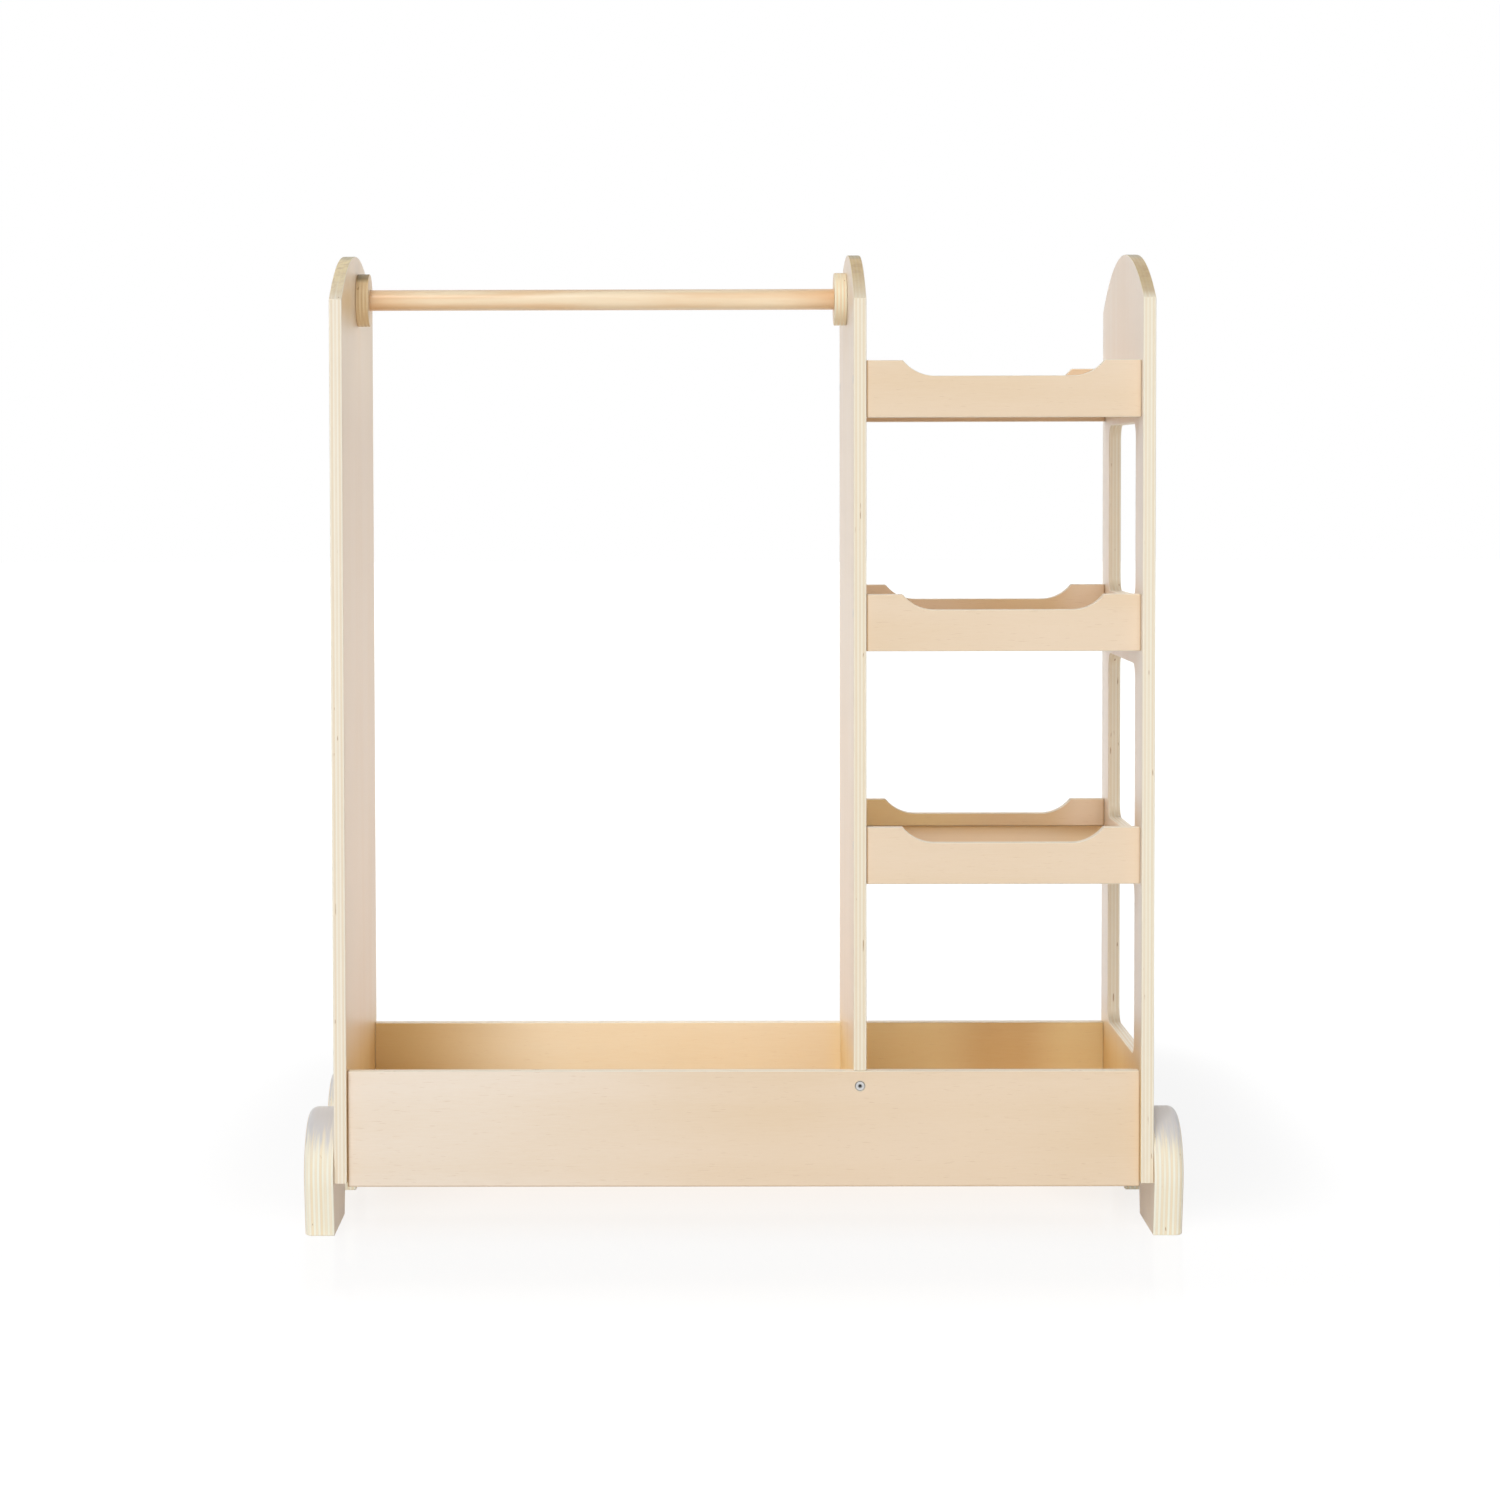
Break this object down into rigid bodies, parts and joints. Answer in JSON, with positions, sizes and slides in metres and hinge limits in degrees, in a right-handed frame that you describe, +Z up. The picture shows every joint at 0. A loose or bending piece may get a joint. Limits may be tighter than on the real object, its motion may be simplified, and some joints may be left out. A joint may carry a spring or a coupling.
{
  "type": "costume storage closet",
  "caption": "Free-standing plywood costume closet for children: a hanging rod over an open bin, and a side tower of scooped trays between arched panels.",
  "frame": {"origin": "on the floor under the middle of the closet, at the bottom centre of its box", "axes": "+Z up, +Y from the open front to the back, +X to the right as seen from the front, towards the trays"},
  "size_m": [1.0204, 0.392, 1.146],
  "materials": {
    "birch_ply": "clear satin lacquer",
    "laminated_birch": "clear satin lacquer over stacked plies",
    "birch_discs": "clear satin lacquer on cut plies",
    "pine": "clear satin lacquer",
    "beech": "bare turned wood",
    "zinc_steel": "bright zinc plate"
  },
  "bodies": {
    "root": {"side_panel_left": "birch_ply", "side_panel_right": "birch_ply", "divider_panel": "birch_ply", "bin_front_board": "birch_ply", "bin_back_board": "birch_ply", "bin_floor": "birch_ply", "top_tray_front_rail": "birch_ply", "top_tray_back_rail": "birch_ply", "top_tray_shelf": "birch_ply", "middle_tray_front_rail": "birch_ply", "middle_tray_back_rail": "birch_ply", "middle_tray_shelf": "birch_ply", "bottom_tray_front_rail": "birch_ply", "bottom_tray_back_rail": "birch_ply", "bottom_tray_shelf": "birch_ply", "hanging_rod": "pine", "rod_socket_left": "birch_discs", "rod_socket_right": "birch_discs", "foot_front_left": "laminated_birch", "foot_back_left": "laminated_birch", "foot_front_right": "laminated_birch", "foot_back_right": "laminated_birch", "divider_screws": "zinc_steel", "divider_dowels": "beech", "bin_corner_screws": "zinc_steel", "bin_corner_dowels": "beech", "tray_screws_divider_side": "zinc_steel", "tray_screws_right_side": "zinc_steel", "tray_dowels": "beech", "rod_end_screws": "zinc_steel", "rod_socket_dowels": "beech", "foot_bolts": "zinc_steel", "foot_inserts": "zinc_steel"}
  },
  "joints": []
}
